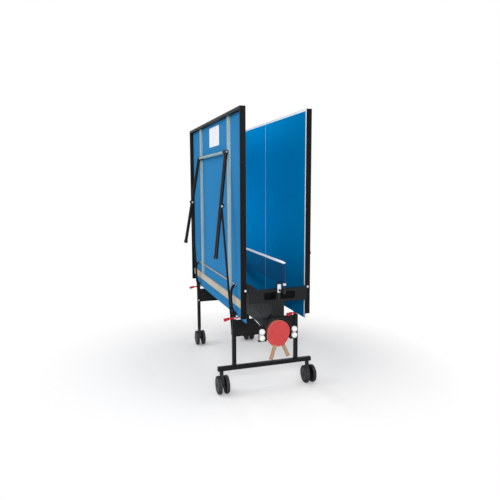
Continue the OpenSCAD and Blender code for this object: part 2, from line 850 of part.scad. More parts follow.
uprights();
near_base_tube();
tube_plugs();
near_panel();
far_panel();
pivot_arms();
pivot_rods();
centre_beam();
end_arms();
end_bars();
badge_plates();
net_guides();
racket_holder();
frame_bolts();
board();  // left_board
rim();  // left_rim
channels();  // left_channels
saddles();  // left_saddles
label();  // left_label
on_right() board();  // right_board
on_right() rim();  // right_rim
on_right() channels();  // right_channels
on_right() saddles();  // right_saddles
legs();  // left_legs
hinge_tube();  // left_hinge_tube
feet();  // left_feet
leg_bolts();  // left_leg_bolts
on_right() legs();  // right_legs
on_right() hinge_tube();  // right_hinge_tube
on_right() feet();  // right_feet
on_right() leg_bolts();  // right_leg_bolts
mirror([0, 1, 0]) strut();  // near_left_strut
strut();  // far_left_strut
on_right() mirror([0, 1, 0]) strut();  // near_right_strut
on_right() strut();  // far_right_strut
at_stem(-near_caster_x, -frame_y) fork();  // near_left_fork
at_stem(-near_caster_x, -frame_y) wheels();  // near_left_wheels
at_stem(near_caster_x, -frame_y) fork();  // near_right_fork
at_stem(near_caster_x, -frame_y) wheels();  // near_right_wheels
at_stem(upright_x, frame_y) fork();  // far_left_fork
at_stem(upright_x, frame_y) wheels();  // far_left_wheels
at_stem(-upright_x, frame_y) fork();  // far_right_fork
at_stem(-upright_x, frame_y) wheels();  // far_right_wheels
mirror([0, 1, 0]) lever();  // near_left_lever
lever();  // far_left_lever
at_right() mirror([0, 1, 0]) lever();  // near_right_lever
at_right() lever();  // far_right_lever
net_brackets();
net_clips();
net_posts();
net_cloth();
net_band();
at_racket(front_y, front_tilt) racket_blade();  // front_racket_blade
at_racket(front_y, front_tilt) racket_rubbers();  // front_racket_rubbers
at_racket(rear_y, rear_tilt) racket_blade();  // rear_racket_blade
at_racket(rear_y, rear_tilt) racket_rubbers();  // rear_racket_rubbers
ball(-1, 0);  // low_left_ball
ball(-1, 1);  // high_left_ball
ball(1, 0);  // low_right_ball
ball(1, 1);  // high_right_ball
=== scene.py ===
import math

import bpy
from mathutils import Matrix, Vector


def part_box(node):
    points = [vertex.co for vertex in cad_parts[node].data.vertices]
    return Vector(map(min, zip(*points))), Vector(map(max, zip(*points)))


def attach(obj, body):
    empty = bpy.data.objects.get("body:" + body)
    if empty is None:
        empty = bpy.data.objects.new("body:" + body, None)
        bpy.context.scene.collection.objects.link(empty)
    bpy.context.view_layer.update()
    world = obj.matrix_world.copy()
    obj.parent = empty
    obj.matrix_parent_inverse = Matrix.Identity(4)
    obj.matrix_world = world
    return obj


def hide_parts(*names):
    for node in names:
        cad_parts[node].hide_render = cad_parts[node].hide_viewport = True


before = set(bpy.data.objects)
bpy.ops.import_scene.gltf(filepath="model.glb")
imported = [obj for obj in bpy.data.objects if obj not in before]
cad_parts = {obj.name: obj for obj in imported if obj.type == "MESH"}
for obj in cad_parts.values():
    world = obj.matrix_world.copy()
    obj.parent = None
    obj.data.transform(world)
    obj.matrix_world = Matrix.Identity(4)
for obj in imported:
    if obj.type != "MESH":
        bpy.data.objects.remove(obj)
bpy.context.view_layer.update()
scene = bpy.context.scene

# ---------------------------------------------------------------- materials


def srgb(r, g, b):
    """Linear colour from 0..255 display values."""
    return [((c / 255) / 12.92 if c <= 10 else ((c / 255 + 0.055) / 1.055) ** 2.4) for c in (r, g, b)] + [1.0]


def toned(color, times, plus=0.0):
    """A darker or lighter version of a linear colour."""
    return [min(1, c * times + plus) for c in color[:3]] + [1]


class Paint:
    """A Principled material whose colour, roughness and bump come from procedural nodes."""

    def __init__(self, name, color, rough, metal=0.0, spec=0.5, coat=0.0, sheen=0.0):
        self.m = bpy.data.materials.new(name)
        self.m.use_nodes = True
        self.t = self.m.node_tree
        self.b = self.t.nodes["Principled BSDF"]
        self.b.inputs["Base Color"].default_value = color
        self.b.inputs["Roughness"].default_value = rough
        self.b.inputs["Metallic"].default_value = metal
        self.b.inputs["Specular IOR Level"].default_value = spec
        self.b.inputs["Coat Weight"].default_value = coat
        self.b.inputs["Coat Roughness"].default_value = 0.15
        self.b.inputs["Sheen Weight"].default_value = sheen
        self.co = self.node("ShaderNodeTexCoord").outputs["Object"]
        self.height = None

    def node(self, kind, **props):
        n = self.t.nodes.new(kind)
        for k, v in props.items():
            setattr(n, k, v)
        return n

    def link(self, a, b):
        self.t.links.new(a, b)

    def put(self, socket, value):
        if isinstance(value, bpy.types.NodeSocket):
            self.link(value, socket)
        else:
            socket.default_value = value

    def math(self, op, a, b=0.0, c=0.0):
        n = self.node("ShaderNodeMath", operation=op)
        for i, v in enumerate((a, b, c)):
            self.put(n.inputs[i], v)
        return n.outputs[0]

    def xyz(self):
        n = self.node("ShaderNodeSeparateXYZ")
        self.link(self.co, n.inputs[0])
        return n.outputs

    def away(self, a, a0, b, b0):
        """Distance from a point in the plane of two coordinates."""
        return self.math("SQRT", self.math("ADD", self.math("POWER", self.math("SUBTRACT", a, a0), 2.0),
                                           self.math("POWER", self.math("SUBTRACT", b, b0), 2.0)))

    def stretched(self, scale):
        n = self.node("ShaderNodeMapping")
        self.link(self.co, n.inputs["Vector"])
        n.inputs["Scale"].default_value = scale
        return n.outputs[0]

    def noise(self, scale, detail=3.0, rough=0.5, vector=None):
        n = self.node("ShaderNodeTexNoise")
        self.link(vector or self.co, n.inputs["Vector"])
        n.inputs["Scale"].default_value = scale
        n.inputs["Detail"].default_value = detail
        n.inputs["Roughness"].default_value = rough
        return n.outputs["Fac"]

    def cells(self, scale, feature="F1", vector=None):
        n = self.node("ShaderNodeTexVoronoi", feature=feature)
        self.link(vector or self.co, n.inputs["Vector"])
        n.inputs["Scale"].default_value = scale
        return n.outputs["Distance"]

    def ramp(self, fac, stops):
        """stops is a list of (position, value or colour)."""
        n = self.node("ShaderNodeValToRGB")
        el = n.color_ramp.elements
        for i, (p, v) in enumerate(stops):
            e = el[i] if i < 2 else el.new(p)
            e.position = p
            e.color = v if hasattr(v, "__len__") else (v, v, v, 1)
        self.link(fac, n.inputs["Fac"])
        return n.outputs["Color"]

    def mix(self, fac, a, b):
        n = self.node("ShaderNodeMix", data_type="RGBA")
        self.put(n.inputs["Factor"], fac)
        for socket, v in zip([i for i in n.inputs if i.type == "RGBA"], (a, b)):
            self.put(socket, v)
        return [o for o in n.outputs if o.type == "RGBA"][0]

    def color(self, c):
        self.put(self.b.inputs["Base Color"], c)

    def roughness(self, fac, low, high):
        self.put(self.b.inputs["Roughness"], self.math("MULTIPLY_ADD", fac, high - low, low))

    def bump(self, height, depth, strength=1.0):
        """depth is in metres. Bumps add up."""
        n = self.node("ShaderNodeBump")
        n.inputs["Distance"].default_value = depth
        n.inputs["Strength"].default_value = strength
        self.link(height, n.inputs["Height"])
        if self.height:
            self.link(self.height, n.inputs["Normal"])
        self.height = n.outputs["Normal"]
        self.link(self.height, self.b.inputs["Normal"])


def powder_coat(name, color, rough=0.4, peel=0.00008, dust=0.12):
    """Baked paint on metal: fine orange peel, cloudy gloss, a little dust and rubbed patches."""
    p = Paint(name, color, rough, spec=0.09)
    cloud = p.noise(6.0, 4.0)
    scuff = p.ramp(p.noise(38.0, 8.0, 0.72), [(0.58, 0.0), (0.72, 1.0)])
    drifts = p.ramp(p.noise(2.1, 6.0, 0.6), [(0.42, 0.0), (0.7, 1.0)])
    shade = p.mix(p.ramp(cloud, [(0.3, 0.0), (0.75, 1.0)]), color, toned(color, 0.75))
    shade = p.mix(p.math("MULTIPLY", scuff, 0.35), shade, toned(color, 1.5, 0.006))
    shade = p.mix(p.math("MULTIPLY", drifts, dust), shade, toned(color, 1.1, 0.02))
    p.color(shade)
    p.roughness(p.noise(25.0, 4.0), rough - 0.1, rough + 0.16)
    p.bump(p.noise(620.0, 2.0), peel)
    p.bump(p.noise(60.0, 3.0), peel * 1.5, 0.5)
    return p.m


def channel_coat():
    """Pale coat of the stiffening channels, warmer on the cross channel at their foot."""
    p = Paint("channel_powder_coat", srgb(124, 146, 152), 0.46, spec=0.14)
    cross_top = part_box("left_channels")[0][2] + CROSS_WIDTH + 0.0001
    cross = p.math("LESS_THAN", p.xyz()["Z"], cross_top)
    cloud = p.ramp(p.noise(6.0, 4.0), [(0.3, 0.0), (0.75, 1.0)])
    cool = p.mix(cloud, srgb(124, 146, 152), srgb(110, 130, 138))
    warm = p.mix(cloud, srgb(164, 158, 144), srgb(146, 141, 130))
    scuff = p.ramp(p.noise(38.0, 8.0, 0.72), [(0.58, 0.0), (0.72, 0.3)])
    p.color(p.mix(scuff, p.mix(cross, cool, warm), srgb(160, 168, 168)))
    p.roughness(p.noise(25.0, 4.0), 0.36, 0.62)
    p.bump(p.noise(620.0, 2.0), 0.00008)
    p.bump(p.noise(60.0, 3.0), 0.00012, 0.5)
    return p.m


def moulded(name, color, rough=0.5, grain=0.00006, spec=0.2):
    """Moulded plastic with a spark-eroded grain."""
    p = Paint(name, color, rough, spec=spec)
    spots = p.noise(14.0, 6.0, 0.6)
    p.color(p.mix(p.ramp(spots, [(0.35, 0.0), (0.7, 1.0)]), color, toned(color, 1.25, 0.004)))
    p.roughness(p.noise(80.0, 4.0), rough - 0.08, rough + 0.12)
    p.bump(p.cells(900.0), grain, 0.6)
    p.bump(p.noise(160.0, 3.0), grain, 0.4)
    return p.m


def board_paint(name, face_x, play, under):
    """Laminate board: one blue on the playing side, a paler one on the other, a fine matt grain on both.
    The playing side carries painted shade: darker towards the net and the near end, where the other half
    shades it."""
    p = Paint(name, play, 0.6, spec=0.0)
    x, y, z = p.xyz()
    depth = p.math("ABSOLUTE", p.math("SUBTRACT", x, face_x))
    below = p.math("GREATER_THAN", depth, 0.0035)
    cloud = p.ramp(p.noise(1.7, 5.0, 0.55), [(0.3, 0.0), (0.75, 1.0)])
    # painted shade: the playing face is darkened low down towards the net and towards the near end, standing
    # in for shade from the other half
    painted_shade_net_side = p.ramp(p.math("DIVIDE", z, 2.0), [(0.27, 0.35), (0.6, 0.0)])
    painted_shade_near_end = p.ramp(p.math("ADD", y, 0.8), [(0.0, 0.5), (0.75, 0.0)])
    face = p.mix(p.math("ADD", painted_shade_net_side, painted_shade_near_end), p.mix(cloud, play, toned(play, 0.9)), toned(play, 0.25))
    blue = p.mix(below, face, p.mix(cloud, under, toned(under, 0.88)))
    speck = p.ramp(p.noise(420.0, 3.0, 0.7), [(0.62, 0.0), (0.75, 1.0)])
    blue = p.mix(p.math("MULTIPLY", speck, 0.05), blue, [0.02, 0.3, 0.6, 1])
    marks = p.ramp(p.noise(9.0, 9.0, 0.78, p.stretched((1.0, 1.0, 0.35))), [(0.63, 0.0), (0.74, 1.0)])
    p.color(p.mix(p.math("MULTIPLY", marks, 0.05), blue, [0.03, 0.32, 0.6, 1]))
    p.roughness(p.noise(5.0, 5.0), 0.5, 0.68)
    p.bump(p.noise(1100.0, 2.0), 0.00005, 0.7)
    p.bump(p.cells(380.0), 0.00003, 0.5)
    return p.m


def line_paint():
    p = Paint("line_paint", srgb(200, 208, 214), 0.5)
    worn = p.ramp(p.noise(70.0, 6.0, 0.7), [(0.4, 0.0), (0.8, 1.0)])
    p.color(p.mix(worn, srgb(202, 210, 216), srgb(168, 180, 190)))
    p.roughness(p.noise(40.0), 0.42, 0.6)
    p.bump(p.noise(900.0, 2.0), 0.00004, 0.6)
    return p.m


def zinc(name, color, rough=0.3, pins=()):
    """Zinc-plated steel with the crystal clouding of the plating and fine turning marks.
    Round each pin, given as (x, z), what lies outside the bolt's head is blackened."""
    p = Paint(name, color, rough, metal=1.0)
    shade = p.mix(p.ramp(p.cells(220.0), [(0.2, 0.0), (0.8, 1.0)]), color, toned(color, 0.7))
    x, _, z = p.xyz()
    for px, pz in pins:
        d = p.away(x, px, z, pz)
        black = p.math("MULTIPLY", p.math("GREATER_THAN", d, 0.0074), p.math("LESS_THAN", d, 0.03))
        p.put(p.b.inputs["Metallic"], p.math("SUBTRACT", 1.0, black))
        p.put(p.b.inputs["Specular IOR Level"], 0.14)
        shade = p.mix(black, shade, srgb(18, 18, 20))
    p.color(shade)
    p.roughness(p.noise(300.0, 4.0), rough - 0.08, rough + 0.18)
    p.bump(p.noise(900.0, 2.0, 0.5, p.stretched((1.0, 0.05, 1.0))), 0.00004, 0.5)
    return p.m


def wheel_rubber(name, axle, radius):
    """Black wheel whose tread is a lighter grey, partly scuffed wear and partly a painted highlight, with
    fine circumferential ribs.
    """
    p = Paint(name, srgb(40, 40, 42), 0.6, spec=0.15)
    x, y, z = p.xyz()
    ribs = p.math("SINE", p.math("MULTIPLY", x, 2 * math.pi / 0.0042))
    worn = p.ramp(p.noise(60.0, 8.0, 0.7), [(0.42, 0.0), (0.72, 1.0)])
    # the tread ring is coloured lighter than the near-black sides: scuffed wear plus a painted highlight
    tread = p.ramp(p.math("DIVIDE", p.away(y, axle[1], z, axle[2]), radius), [(0.93, 0.0), (0.97, 1.0)])
    p.color(p.mix(tread, srgb(6, 6, 7), p.mix(worn, srgb(28, 28, 30), srgb(52, 52, 54))))
    p.roughness(p.noise(90.0), 0.5, 0.75)
    p.bump(p.math("MULTIPLY", ribs, tread), 0.00022, 0.6)
    p.bump(p.noise(500.0, 3.0), 0.0001, 0.6)
    return p.m


def band_cloth():
    """White woven tape with a line of stitches along its lower edge."""
    p = Paint("band_cloth", srgb(238, 240, 242), 0.85, spec=0.2, sheen=0.3)
    _, y, z = p.xyz()
    warp = p.math("SINE", p.math("MULTIPLY", y, 2 * math.pi / 0.0011))
    weft = p.math("SINE", p.math("MULTIPLY", z, 2 * math.pi / 0.0009))
    weave = p.math("MULTIPLY", warp, weft)
    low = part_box("net_band")[0][2]
    on_line = p.math("LESS_THAN", p.math("ABSOLUTE", p.math("SUBTRACT", z, low + 0.0022)), 0.0005)
    dash = p.math("LESS_THAN", p.math("FRACT", p.math("MULTIPLY", y, 1 / 0.0036)), 0.68)
    stitch = p.math("MULTIPLY", on_line, dash)
    soil = p.ramp(p.noise(12.0, 6.0, 0.65), [(0.45, 0.0), (0.8, 1.0)])
    shade = p.mix(p.math("MULTIPLY", soil, 0.25), srgb(206, 211, 216), srgb(176, 181, 186))
    p.color(p.mix(p.math("MULTIPLY", stitch, 0.75), shade, srgb(150, 156, 164)))
    p.bump(weave, 0.00012, 0.8)
    p.bump(stitch, 0.0003, 0.8)
    return p.m


def net_cord():
    """Twisted nylon twine."""
    p = Paint("net_cord", srgb(8, 24, 48), 0.6, spec=0.06)
    _, y, z = p.xyz()
    twist = p.math("SINE", p.math("MULTIPLY", p.math("ADD", y, z), 2 * math.pi / 0.0014))
    fuzz = p.ramp(p.noise(240.0, 4.0), [(0.35, 0.0), (0.7, 1.0)])
    p.color(p.mix(fuzz, srgb(5, 18, 38), srgb(10, 36, 66)))
    p.bump(twist, 0.0002, 0.8)
    return p.m


def racket_rubber(name, color):
    """Smooth rubber sheet over pimples: a satin skin with faint dimples and ball marks."""
    p = Paint(name, color, 0.4, spec=0.5)
    marks = p.ramp(p.noise(30.0, 7.0, 0.7), [(0.45, 0.0), (0.75, 1.0)])
    p.color(p.mix(p.math("MULTIPLY", marks, 0.35), color, toned(color, 1.35, 0.02)))
    p.roughness(p.noise(20.0, 5.0), 0.3, 0.5)
    p.bump(p.cells(520.0), 0.00005, 0.5)
    return p.m


def plywood(name, light, dark, across):
    """Wood with its grain along the object's height. across sets how fast the rings change sideways."""
    p = Paint(name, light, 0.45, spec=0.35, coat=0.1)
    grain = p.noise(1.0, 6.0, 0.62, p.stretched((across, across, across * 0.07)))
    rings = p.math("SINE", p.math("MULTIPLY", grain, 46.0))
    fine = p.noise(1.0, 3.0, 0.5, p.stretched((across * 6, across * 6, across * 0.2)))
    tone = p.mix(p.ramp(rings, [(0.0, 0.0), (1.0, 1.0)]), light, dark)
    p.color(p.mix(p.math("MULTIPLY", fine, 0.5), tone, toned(dark, 0.6)))
    p.roughness(fine, 0.35, 0.6)
    p.bump(fine, 0.00012, 0.6)
    return p.m


def celluloid():
    p = Paint("ball_shell", srgb(238, 238, 234), 0.38, spec=0.45)
    p.b.inputs["Subsurface Weight"].default_value = 0.08
    p.b.inputs["Subsurface Radius"].default_value = (0.004, 0.004, 0.004)
    soil = p.ramp(p.noise(45.0, 6.0, 0.7), [(0.5, 0.0), (0.8, 1.0)])
    p.color(p.mix(p.math("MULTIPLY", soil, 0.3), srgb(186, 186, 184), srgb(160, 159, 153)))
    p.roughness(p.noise(90.0), 0.3, 0.5)
    p.bump(p.noise(700.0, 2.0), 0.00004, 0.5)
    return p.m


# places and sizes that several pieces share, in metres
FRAME_Y = 0.555
CHANNEL_Y = 0.42
CROSS_WIDTH = 0.05
TUBE_HALF = 0.0125

BLACK = powder_coat("black_powder_coat", srgb(17, 17, 19), 0.4)
RIM_BLACK = powder_coat("rim_powder_coat", srgb(8, 8, 9), 0.44, dust=0.04)
PANEL = powder_coat("panel_powder_coat", srgb(19, 19, 19), 0.46)
GREY = powder_coat("grey_powder_coat", srgb(38, 42, 45), 0.5, dust=0.08)
BAR_GREY = powder_coat("bar_powder_coat", srgb(21, 23, 25), 0.46, dust=0.08)
PALE = powder_coat("pale_powder_coat", srgb(124, 146, 152), 0.46, dust=0.15)
ROD = powder_coat("rod_powder_coat", srgb(146, 138, 128), 0.4)
ZINC = zinc("zinc_plate", srgb(200, 202, 206))
PLASTIC = moulded("black_plastic", srgb(17, 17, 18), 0.5)
BADGE = moulded("badge_plastic", srgb(1, 1, 1), 0.5, grain=0.00003, spec=0.03)
FORK = moulded("fork_plastic", srgb(16, 16, 17), 0.46)
RED = moulded("lever_plastic", srgb(142, 16, 32), 0.4, grain=0.00004)
WHITE = moulded("white_plastic", srgb(164, 168, 172), 0.4, grain=0.00003)
STICKER = moulded("sticker", srgb(186, 188, 192), 0.55, grain=0.00002)
HUB = moulded("hub_plastic", srgb(6, 6, 7), 0.42)
POST = powder_coat("post_powder_coat", srgb(28, 34, 66), 0.38)
LINES = line_paint()
SHELL = celluloid()


def dress(material, *nodes):
    for n in nodes:
        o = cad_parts[n]
        if not o.material_slots:
            o.data.materials.append(None)
        for s in o.material_slots:
            s.link = "OBJECT"
            s.material = material


def soften(width, *nodes):
    """Rounds the edges a little, so that they catch the light."""
    for n in nodes:
        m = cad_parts[n].modifiers.new("edge", "BEVEL")
        m.width = width
        m.segments = 2
        m.limit_method = "ANGLE"
        m.angle_limit = math.radians(50)
        m.harden_normals = False


def mid(node):
    lo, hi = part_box(node)
    return (Vector(lo) + Vector(hi)) / 2


SIDES = ("left", "right")
ENDS = ("near", "far")
CORNERS = [f"{e}_{s}" for e in ENDS for s in SIDES]
FACE = {"left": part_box("left_board")[1][0], "right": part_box("right_board")[0][0]}
PLAY_BLUE = [0.0, 0.182, 0.445, 1]
UNDER_BLUE = [0.024, 0.154, 0.335, 1]

dress(BLACK, "uprights", "near_base_tube", "pivot_arms", *[f"{c}_strut" for c in CORNERS])
dress(BLACK, "left_legs", "right_legs", "left_saddles", "right_saddles")
dress(RIM_BLACK, "left_rim", "right_rim")
dress(PANEL, "near_panel", "far_panel")
dress(GREY, "centre_beam", "end_arms")
dress(BAR_GREY, "end_bars")
dress(PALE, "left_hinge_tube", "right_hinge_tube")
dress(channel_coat(), "left_channels", "right_channels")
dress(ROD, "pivot_rods")
dress(ZINC, "frame_bolts")
for side in SIDES:
    points = [v.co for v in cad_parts[f"{side}_leg_bolts"].data.vertices]
    tip = max(v.y for v in points)
    end = [v for v in points if v.y > tip - 0.0001]
    pin = (sum(v.x for v in end) / len(end), sum(v.z for v in end) / len(end))
    dress(zinc(f"{side}_leg_zinc", srgb(200, 202, 206), 0.3, [pin]), f"{side}_leg_bolts")
dress(PLASTIC, "tube_plugs", "racket_holder", "net_guides", "net_brackets", "left_feet", "right_feet")
dress(BADGE, "badge_plates")
dress(WHITE, "net_clips")
dress(POST, "net_posts")
dress(STICKER, "left_label")
dress(RED, *[f"{c}_lever" for c in CORNERS])
dress(FORK, *[f"{c}_fork" for c in CORNERS])
for c in CORNERS:
    axle, (_, _, top) = mid(f"{c}_wheels"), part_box(f"{c}_wheels")[1]
    dress(wheel_rubber(f"{c}_rubber", axle, top / 2), f"{c}_wheels")
dress(SHELL, *[f"{q}_{s}_ball" for q in ("low", "high") for s in SIDES])
for side in SIDES:
    dress(board_paint(f"{side}_laminate", FACE[side], PLAY_BLUE, UNDER_BLUE), f"{side}_board")
soften(0.0008, "uprights", "near_base_tube", "tube_plugs", "end_bars", "near_panel", "far_panel")
soften(0.0006, "left_channels", "right_channels", "net_brackets", "racket_holder")
soften(0.0008, *[f"{c}_lever" for c in CORNERS])

# ---------------------------------------------------------------- mesh helpers


def made(name, verts, faces, material, smooth=False):
    me = bpy.data.meshes.new(name)
    me.from_pydata([tuple(v) for v in verts], [], faces)
    me.validate()
    me.materials.append(material)
    for p in me.polygons:
        p.use_smooth = smooth
    o = bpy.data.objects.new(name, me)
    scene.collection.objects.link(o)
    return o


class Shape:
    """Collects parts of one mesh."""

    def __init__(self):
        self.v, self.f = [], []

    def add(self, verts, faces):
        n = len(self.v)
        self.v += [Vector(v) for v in verts]
        self.f += [[i + n for i in f] for f in faces]

    def loft(self, rings, caps=True):
        """Joins rings of equal size into a skin."""
        k = len(rings[0])
        faces = []
        for r in range(len(rings) - 1):
            for i in range(k):
                j = (i + 1) % k
                faces.append([r * k + i, r * k + j, (r + 1) * k + j, (r + 1) * k + i])
        if caps:
            faces.append(list(range(k))[::-1])
            faces.append([(len(rings) - 1) * k + i for i in range(k)])
        self.add([p for ring in rings for p in ring], faces)

    def box(self, lo, hi, bevel=0.0):
        """Box with chamfered edges."""
        b = min(bevel, *[(h - l) / 2.01 for l, h in zip(lo, hi)])
        x0, y0, z0 = lo
        x1, y1, z1 = hi

        def ring(z, d):
            c = b + d
            return [(x0 + c, y0 + d, z), (x1 - c, y0 + d, z), (x1 - d, y0 + c, z), (x1 - d, y1 - c, z),
                    (x1 - c, y1 - d, z), (x0 + c, y1 - d, z), (x0 + d, y1 - c, z), (x0 + d, y0 + c, z)]

        self.loft([ring(z0, b), ring(z0 + b, 0), ring(z1 - b, 0), ring(z1, b)])

    def lathe(self, profile, centre, axis, n=32, turn=0.0):
        """profile is a list of (radius, distance along axis)."""
        a = Vector(axis).normalized()
        u = a.orthogonal().normalized()
        w = a.cross(u)
        rings = []
        for r, d in profile:
            r = max(r, 1e-5)
            rings.append([Vector(centre) + a * d + (u * math.cos(t) + w * math.sin(t)) * r
                          for t in (turn + 2 * math.pi * i / n for i in range(n))])
        self.loft(rings)

    def tube(self, path, r, n=6):
        rings = []
        for i, p in enumerate(path):
            d = (Vector(path[min(i + 1, len(path) - 1)]) - Vector(path[max(i - 1, 0)])).normalized()
            u = (Vector((1, 0, 0)) if abs(d.x) < 0.8 else Vector((0, 0, 1))).cross(d).normalized()
            w = d.cross(u)
            rings.append([Vector(p) + (u * math.cos(t) + w * math.sin(t)) * r
                          for t in (2 * math.pi * (k + 0.5) / n for k in range(n))])
        self.loft(rings)

    def turned(self, matrix):
        self.v = [matrix @ p for p in self.v]
        return self

    def build(self, name, material, body, slot=None, smooth=False, angle=None):
        o = made(name, self.v, self.f, material, smooth)
        if angle:
            m = o.modifiers.new("edge", "BEVEL")
            m.width, m.segments, m.limit_method, m.angle_limit = angle, 2, "ANGLE", math.radians(40)
        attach(o, body)
        return o


# ---------------------------------------------------------------- white lines on the playing surfaces

for side, out in (("left", 1), ("right", -1)):
    lo, hi = (Vector(c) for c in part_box(f"{side}_board"))
    x0, x1 = sorted((FACE[side] - out * 0.0002, FACE[side] + out * 0.00025))
    wide, thin = 0.012, 0.0010
    s = Shape()
    s.box((x0, lo.y, lo.z + 0.0005), (x1, lo.y + wide, hi.z - wide), 0.0001)
    s.box((x0, hi.y - wide, lo.z + 0.0005), (x1, hi.y, hi.z - wide), 0.0001)
    s.box((x0, lo.y, hi.z - wide), (x1, hi.y, hi.z), 0.0001)
    s.box((x0, -thin, lo.z + 0.0005), (x1, thin, hi.z - wide), 0.0001)
    s.build(f"{side}_lines", LINES, f"{side}_half")

# ---------------------------------------------------------------- net and its white band

lo, hi = (Vector(c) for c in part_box("net_cloth"))
columns, rows = 140, 10
half_y = hi.y
top_z, low_z = hi.z, lo.z


def net_point(i, j):
    """Point of the net at column i, row j, with a slight sag between the posts and a ripple."""
    u, v = i / columns, j / rows
    y = -half_y + 2 * half_y * u
    sag = 0.0035 * (1 - (2 * u - 1) ** 2) * (1 - v)
    z = low_z + (top_z - low_z) * v + sag
    y += 0.0012 * math.sin(9 * u + 5 * v) * (1 - v)
    x = 0.0005 * math.sin(31 * u + 3 * v) * (1 - v ** 2)
    return Vector((x, y, z))


# a knot is a small octahedron
KNOT_POINTS = ((1, 0, 0), (0, 1, 0), (0, 0, 1), (-1, 0, 0), (0, -1, 0), (0, 0, -1))
KNOT_FACES = [[0, 1, 2], [1, 3, 2], [3, 4, 2], [4, 0, 2], [1, 0, 5], [3, 1, 5], [4, 3, 5], [0, 4, 5]]

net = Shape()
cord_r = 0.00085
for i in range(columns + 1):
    net.tube([net_point(i, j) for j in range(rows + 1)], cord_r, 4)
for j in range(rows + 1):
    net.tube([net_point(i, j) for i in range(columns + 1)], cord_r * (1.6 if j == 0 else 1.0), 4)
for i in range(columns + 1):
    for j in range(1, rows):
        c = net_point(i, j)
        k = cord_r * 1.6
        net.add([c + Vector(d) * k for d in KNOT_POINTS], KNOT_FACES)
mesh_net = net.build("net_mesh", net_cord(), "net", "net_dark")
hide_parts("net_cloth")

lo, hi = (Vector(c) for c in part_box("net_band"))
steps, ring = 120, 13
band = Shape()
for i in range(steps + 1):
    y = lo.y + (hi.y - lo.y) * i / steps
    w = 0.0017 + 0.00012 * math.sin(i * 1.9)
    dip = 0.0004 * math.sin(i * 0.31)
    for k in range(ring):
        t = k / (ring - 1)
        if t < 0.4:
            p = (-w, y, lo.z - 0.001 + (hi.z - w - lo.z + 0.001) * (t / 0.4) + dip)
        elif t > 0.6:
            p = (w, y, lo.z - 0.001 + (hi.z - w - lo.z + 0.001) * ((1 - t) / 0.4) + dip)
        else:
            a = math.pi * (t - 0.4) / 0.2
            p = (-w * math.cos(a), y, hi.z - w + w * math.sin(a) + dip)
        band.v.append(Vector(p))
for i in range(steps):
    for k in range(ring - 1):
        a = i * ring + k
        band.f.append([a, a + 1, a + ring + 1, a + ring])
tape = band.build("net_tape", band_cloth(), "net", "band_white", smooth=True)
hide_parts("net_band")

# cord ends that tie the band to the posts
ties = Shape()
post_r = 0.004
post_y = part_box("net_posts")[1][1] - post_r
for e in (-1, 1):
    y = e * post_y
    for h in (0.0, 0.0022, 0.0044):
        ties.tube([(0.0048 * math.cos(a), y + 0.0048 * math.sin(a), hi.z - 0.010 + h + 0.0003 * a)
                   for a in (2 * math.pi * k / 16 for k in range(17))], 0.0011, 6)
ties.build("net_ties", band_cloth(), "net", "band_white", smooth=True)

# ---------------------------------------------------------------- rackets

PLY = plywood("racket_plywood", srgb(166, 132, 92), srgb(138, 102, 66), 90.0)
HANDLE = plywood("racket_handle_wood", srgb(150, 116, 88), srgb(112, 80, 58), 140.0)
RUBBER_RED = racket_rubber("racket_red", srgb(150, 33, 35))
RUBBER_BLACK = racket_rubber("racket_black", srgb(22, 22, 24))
SPONGE = moulded("racket_sponge", srgb(206, 170, 160), 0.8, grain=0.0001)


def outline(r, extra, chord, n=36):
    """Oval outline of half width r, cut by a straight chord at the bottom, in (x, z)."""
    h = extra / 2
    a0 = math.asin((chord - h) / r)
    top = [(r * math.cos(a), h + r * math.sin(a)) for a in (math.pi * i / n for i in range(n + 1))]
    side = [math.pi + a0 * i / (n // 2) for i in range(n // 2 + 1)]
    low = [(r * math.cos(a), -h + r * math.sin(a)) for a in side]
    return top + low + [(-x, z) for x, z in low[::-1]]


def plate(s, pts, y0, y1, edge):
    """Flat plate with softened edges, from an outline in (x, z)."""
    cx = sum(p[0] for p in pts) / len(pts)
    cz = sum(p[1] for p in pts) / len(pts)

    def ring(y, d):
        out = []
        for x, z in pts:
            r = math.hypot(x - cx, z - cz)
            k = (r - d) / r
            out.append((cx + (x - cx) * k, y, cz + (z - cz) * k))
        return out

    s.loft([ring(y0, edge), ring(y0 + edge, 0), ring(y1 - edge, 0), ring(y1, edge)])


# distance from the middle of the blade, half width and half thickness along the grip
GRIP = ((0.0922, 0.0116, 0.0062), (0.0950, 0.0120, 0.0083), (0.1010, 0.0118, 0.0088),
        (0.1200, 0.0113, 0.0086), (0.1420, 0.0114, 0.0086), (0.1640, 0.0120, 0.0088),
        (0.1755, 0.0124, 0.0088), (0.1778, 0.0114, 0.0078))
TILTS = {"front": 17, "rear": -25}

